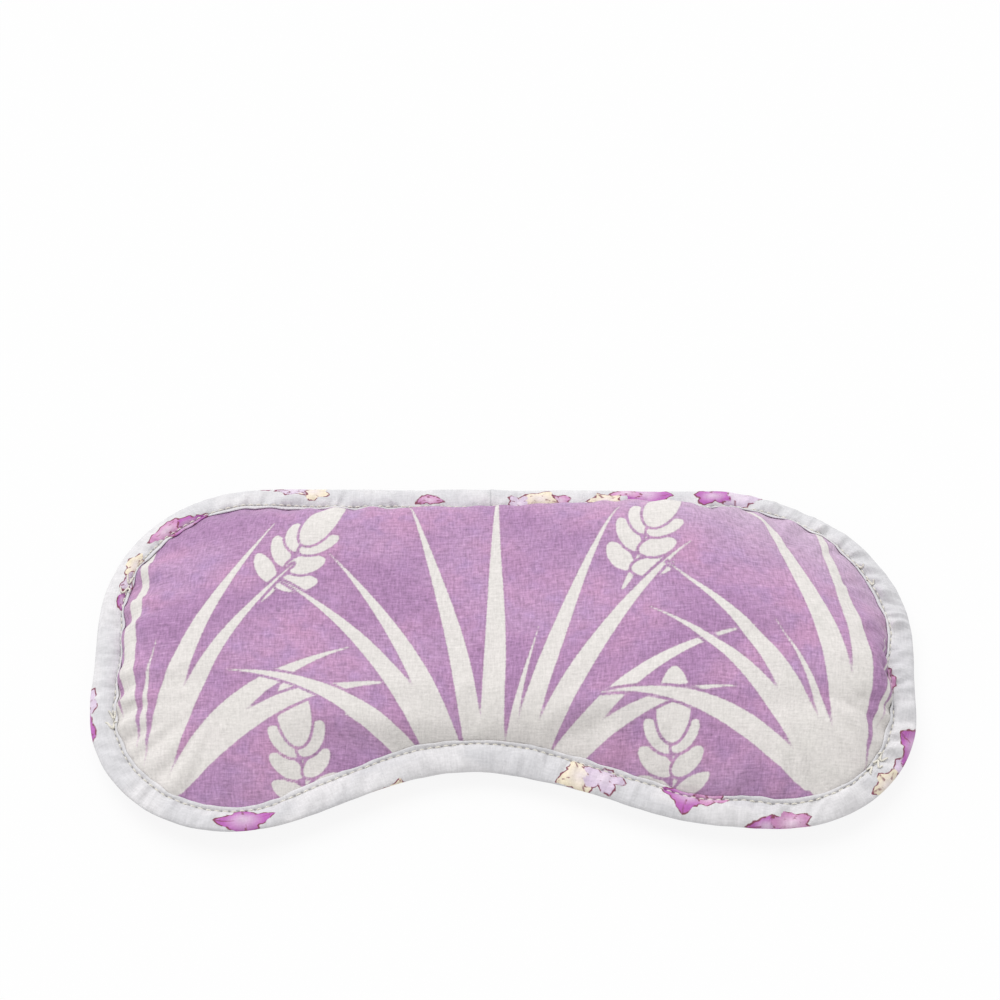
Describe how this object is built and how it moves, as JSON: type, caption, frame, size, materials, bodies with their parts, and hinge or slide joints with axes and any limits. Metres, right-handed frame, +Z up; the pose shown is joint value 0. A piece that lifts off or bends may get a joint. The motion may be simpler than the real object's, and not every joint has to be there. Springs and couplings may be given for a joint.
{
  "type": "eye pillow",
  "caption": "Contoured eye pillow with a nose notch: printed cotton covers bound and sewn at the edge, over a soft pouch filled with flaxseed and lavender.",
  "frame": {"origin": "middle of the length and width, on the face it rests on", "axes": "+X along the length, +Y away from the nose notch, +Z up out of the front cover"},
  "size_m": [0.228, 0.115, 0.023],
  "materials": {
    "printed_cotton": "matte",
    "binding_cotton": "matte",
    "sewing_thread": "matte",
    "pouch_muslin": "matte",
    "flaxseed": "satin",
    "lavender": "matte"
  },
  "bodies": {
    "root": {"front_cover_panel": "printed_cotton", "back_cover_panel": "printed_cotton", "edge_binding": "binding_cotton", "needle_thread_stitches": "sewing_thread", "bobbin_thread_stitches": "sewing_thread", "hand_tack_stitches": "sewing_thread", "pouch_front_panel": "pouch_muslin", "pouch_back_panel": "pouch_muslin", "pouch_seam_stitches": "sewing_thread", "flaxseed_fill": "flaxseed", "lavender_buds": "lavender"}
  },
  "joints": []
}
